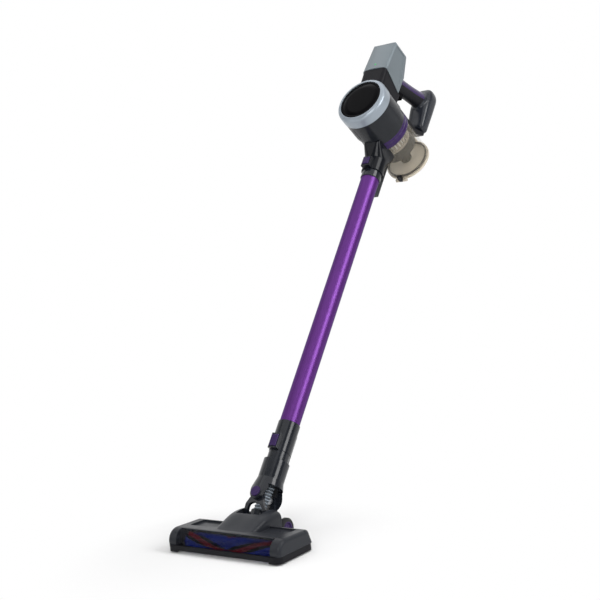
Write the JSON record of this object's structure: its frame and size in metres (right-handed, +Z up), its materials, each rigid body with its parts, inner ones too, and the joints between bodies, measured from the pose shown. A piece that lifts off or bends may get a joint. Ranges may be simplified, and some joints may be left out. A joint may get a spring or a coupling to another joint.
{
  "type": "cordless stick vacuum",
  "caption": "Cordless stick vacuum: brush-roll floor head on a jointed neck, slim metal wand, and a hand unit with clear cyclone bin, battery and looped grip.",
  "frame": {"origin": "on the floor under the middle of the felt strip on the sole", "axes": "+Z up, +X across the floor head, front of the head towards -Y, wand leaning back towards +Y"},
  "size_m": [0.266, 0.8921, 0.9524],
  "materials": {
    "cover_grey": "satin moulded plastic",
    "dark_plastic": "satin moulded plastic",
    "slate_gloss": "gloss moulded plastic",
    "black_gloss": "gloss",
    "silver": "satin metallic paint",
    "purple_metal": "anodised aluminium",
    "purple_plastic": "satin moulded plastic",
    "smoky_clear": "smoky transparent plastic",
    "window_clear": "transparent plastic",
    "rubber": "matte rubber",
    "felt": "felt",
    "bristle_blue": "nylon bristles",
    "bristle_red": "nylon bristles",
    "hose_grey": "ribbed flexible plastic",
    "steel": "turned steel",
    "cell_wrap": "shrink wrap",
    "board_green": "circuit board",
    "led_green": "lit lens",
    "filter_white": "pleated filter paper",
    "cyclone_grey": "satin moulded plastic",
    "mesh_brown": "fine slotted plastic",
    "motor_alloy": "cast alloy can"
  },
  "bodies": {
    "hand": {"inlet_duct": "slate_gloss", "motor_housing": "slate_gloss", "exhaust_filter": "filter_white", "fan_motor": "motor_alloy", "bin_ring": "purple_plastic", "dust_bin": "smoky_clear", "bin_hinge_lug": "dark_plastic", "lid_pin": "steel", "lid_seal": "rubber", "cyclone_shroud": "mesh_brown", "pre_filter": "filter_white", "cyclone_skirt": "cyclone_grey", "body_bridge": "dark_plastic", "battery_dock": "dark_plastic", "rear_spine": "dark_plastic", "grip_front": "dark_plastic", "grip_back": "purple_plastic", "grip_foot": "cover_grey"},
    "filter_cap": {"filter_cap_ring": "silver", "filter_cap_disc": "black_gloss"},
    "fan": {"fan_impeller": "dark_plastic"},
    "battery": {"battery_shell": "silver", "battery_cells": "cell_wrap", "battery_board": "board_green", "status_led": "led_green"},
    "trigger": {"trigger": "black_gloss"},
    "wand_release": {"wand_release_button": "purple_plastic"},
    "lid": {"bin_lid": "smoky_clear"},
    "latch": {"lid_latch": "dark_plastic"},
    "wand": {"wand_tube": "purple_metal", "lower_collar": "slate_gloss", "upper_collar": "slate_gloss"},
    "head_release": {"head_release_button": "purple_plastic"},
    "neck": {"neck_fork": "slate_gloss", "pivot_caps": "purple_plastic", "neck_spigot": "dark_plastic", "neck_hose": "hose_grey"},
    "yoke": {"neck_yoke": "slate_gloss", "roll_pins": "steel"},
    "head": {"head_base": "dark_plastic", "head_cover": "cover_grey", "brush_window": "window_clear", "felt_strip": "felt", "brush_bushes": "steel", "brush_motor": "motor_alloy", "drive_belt": "rubber", "wheel_axles": "steel", "sole_screws": "steel"},
    "brush": {"brush_core": "dark_plastic", "bristles_blue": "bristle_blue", "bristles_red": "bristle_red", "brush_pulley": "dark_plastic"},
    "pinion": {"motor_pinion": "steel"},
    "wheel_left": {"wheel_tyre_left": "rubber", "wheel_hub_left": "purple_plastic"},
    "wheel_right": {"wheel_tyre_right": "rubber", "wheel_hub_right": "purple_plastic"}
  },
  "joints": [
    {"name": "filter_cap_twist", "type": "hinge", "parent": "hand", "child": "filter_cap", "pos_m": [0, 0.54962, 0.82006], "axis": [0, -0.7815, 0.6239], "range_deg": [0, 30]},
    {"name": "fan_spin", "type": "hinge", "parent": "hand", "child": "fan", "pos_m": [0, 0.58479, 0.79199], "axis": [0, -0.7815, 0.6239], "continuous": true},
    {"name": "battery_slide", "type": "slide", "parent": "hand", "child": "battery", "axis": [0, 0.3762, 0.9266], "range_m": [0, 0.08]},
    {"name": "trigger_pull", "type": "slide", "parent": "hand", "child": "trigger", "axis": [0, 0.6239, 0.7815], "range_m": [0, 0.004], "stiffness_N_per_m": 600, "springref_m": -0.002},
    {"name": "wand_release_press", "type": "slide", "parent": "hand", "child": "wand_release", "axis": [0, 0.7815, -0.6239], "range_m": [0, 0.0025], "stiffness_N_per_m": 900, "springref_m": -0.002},
    {"name": "lid_open", "type": "hinge", "parent": "hand", "child": "lid", "pos_m": [0, 0.67271, 0.64951], "axis": [-1, 0, 0], "range_deg": [0, 90]},
    {"name": "lid_latch_press", "type": "slide", "parent": "hand", "child": "latch", "axis": [0, 0.6239, 0.7815], "range_m": [0, 0.002], "stiffness_N_per_m": 900, "springref_m": -0.002},
    {"name": "wand_pull", "type": "slide", "parent": "hand", "child": "wand", "axis": [0, -0.6239, -0.7815], "range_m": [0, 0.06]},
    {"name": "head_release_press", "type": "slide", "parent": "wand", "child": "head_release", "axis": [0, 0.7815, -0.6239], "range_m": [0, 0.0025], "stiffness_N_per_m": 900, "springref_m": -0.002},
    {"name": "head_pull", "type": "slide", "parent": "wand", "child": "neck", "axis": [0, -0.6239, -0.7815], "range_m": [0, 0.055]},
    {"name": "neck_roll", "type": "hinge", "parent": "neck", "child": "yoke", "pos_m": [0, 0.08344, 0.0758], "axis": [0, -0.7815, 0.6239], "range_deg": [-40, 40], "deforming": ["neck_hose"]},
    {"name": "neck_pitch", "type": "hinge", "parent": "yoke", "child": "head", "pos_m": [0, 0.0563, 0.0418], "axis": [1, 0, 0], "range_deg": [-38, 35]},
    {"name": "brush_spin", "type": "hinge", "parent": "head", "child": "brush", "pos_m": [0, -0.0273, 0.019], "axis": [1, 0, 0], "continuous": true},
    {"name": "pinion_spin", "type": "hinge", "parent": "head", "child": "pinion", "pos_m": [-0.106, 0.0127, 0.0185], "axis": [1, 0, 0], "continuous": true},
    {"name": "wheel_left_spin", "type": "hinge", "parent": "head", "child": "wheel_left", "pos_m": [-0.038, 0.088, 0.0195], "axis": [1, 0, 0], "continuous": true},
    {"name": "wheel_right_spin", "type": "hinge", "parent": "head", "child": "wheel_right", "pos_m": [0.038, 0.088, 0.0195], "axis": [1, 0, 0], "continuous": true}
  ],
  "couplings": [
    {"joint": "pinion_spin", "follows": "brush_spin", "ratio": 2}
  ]
}
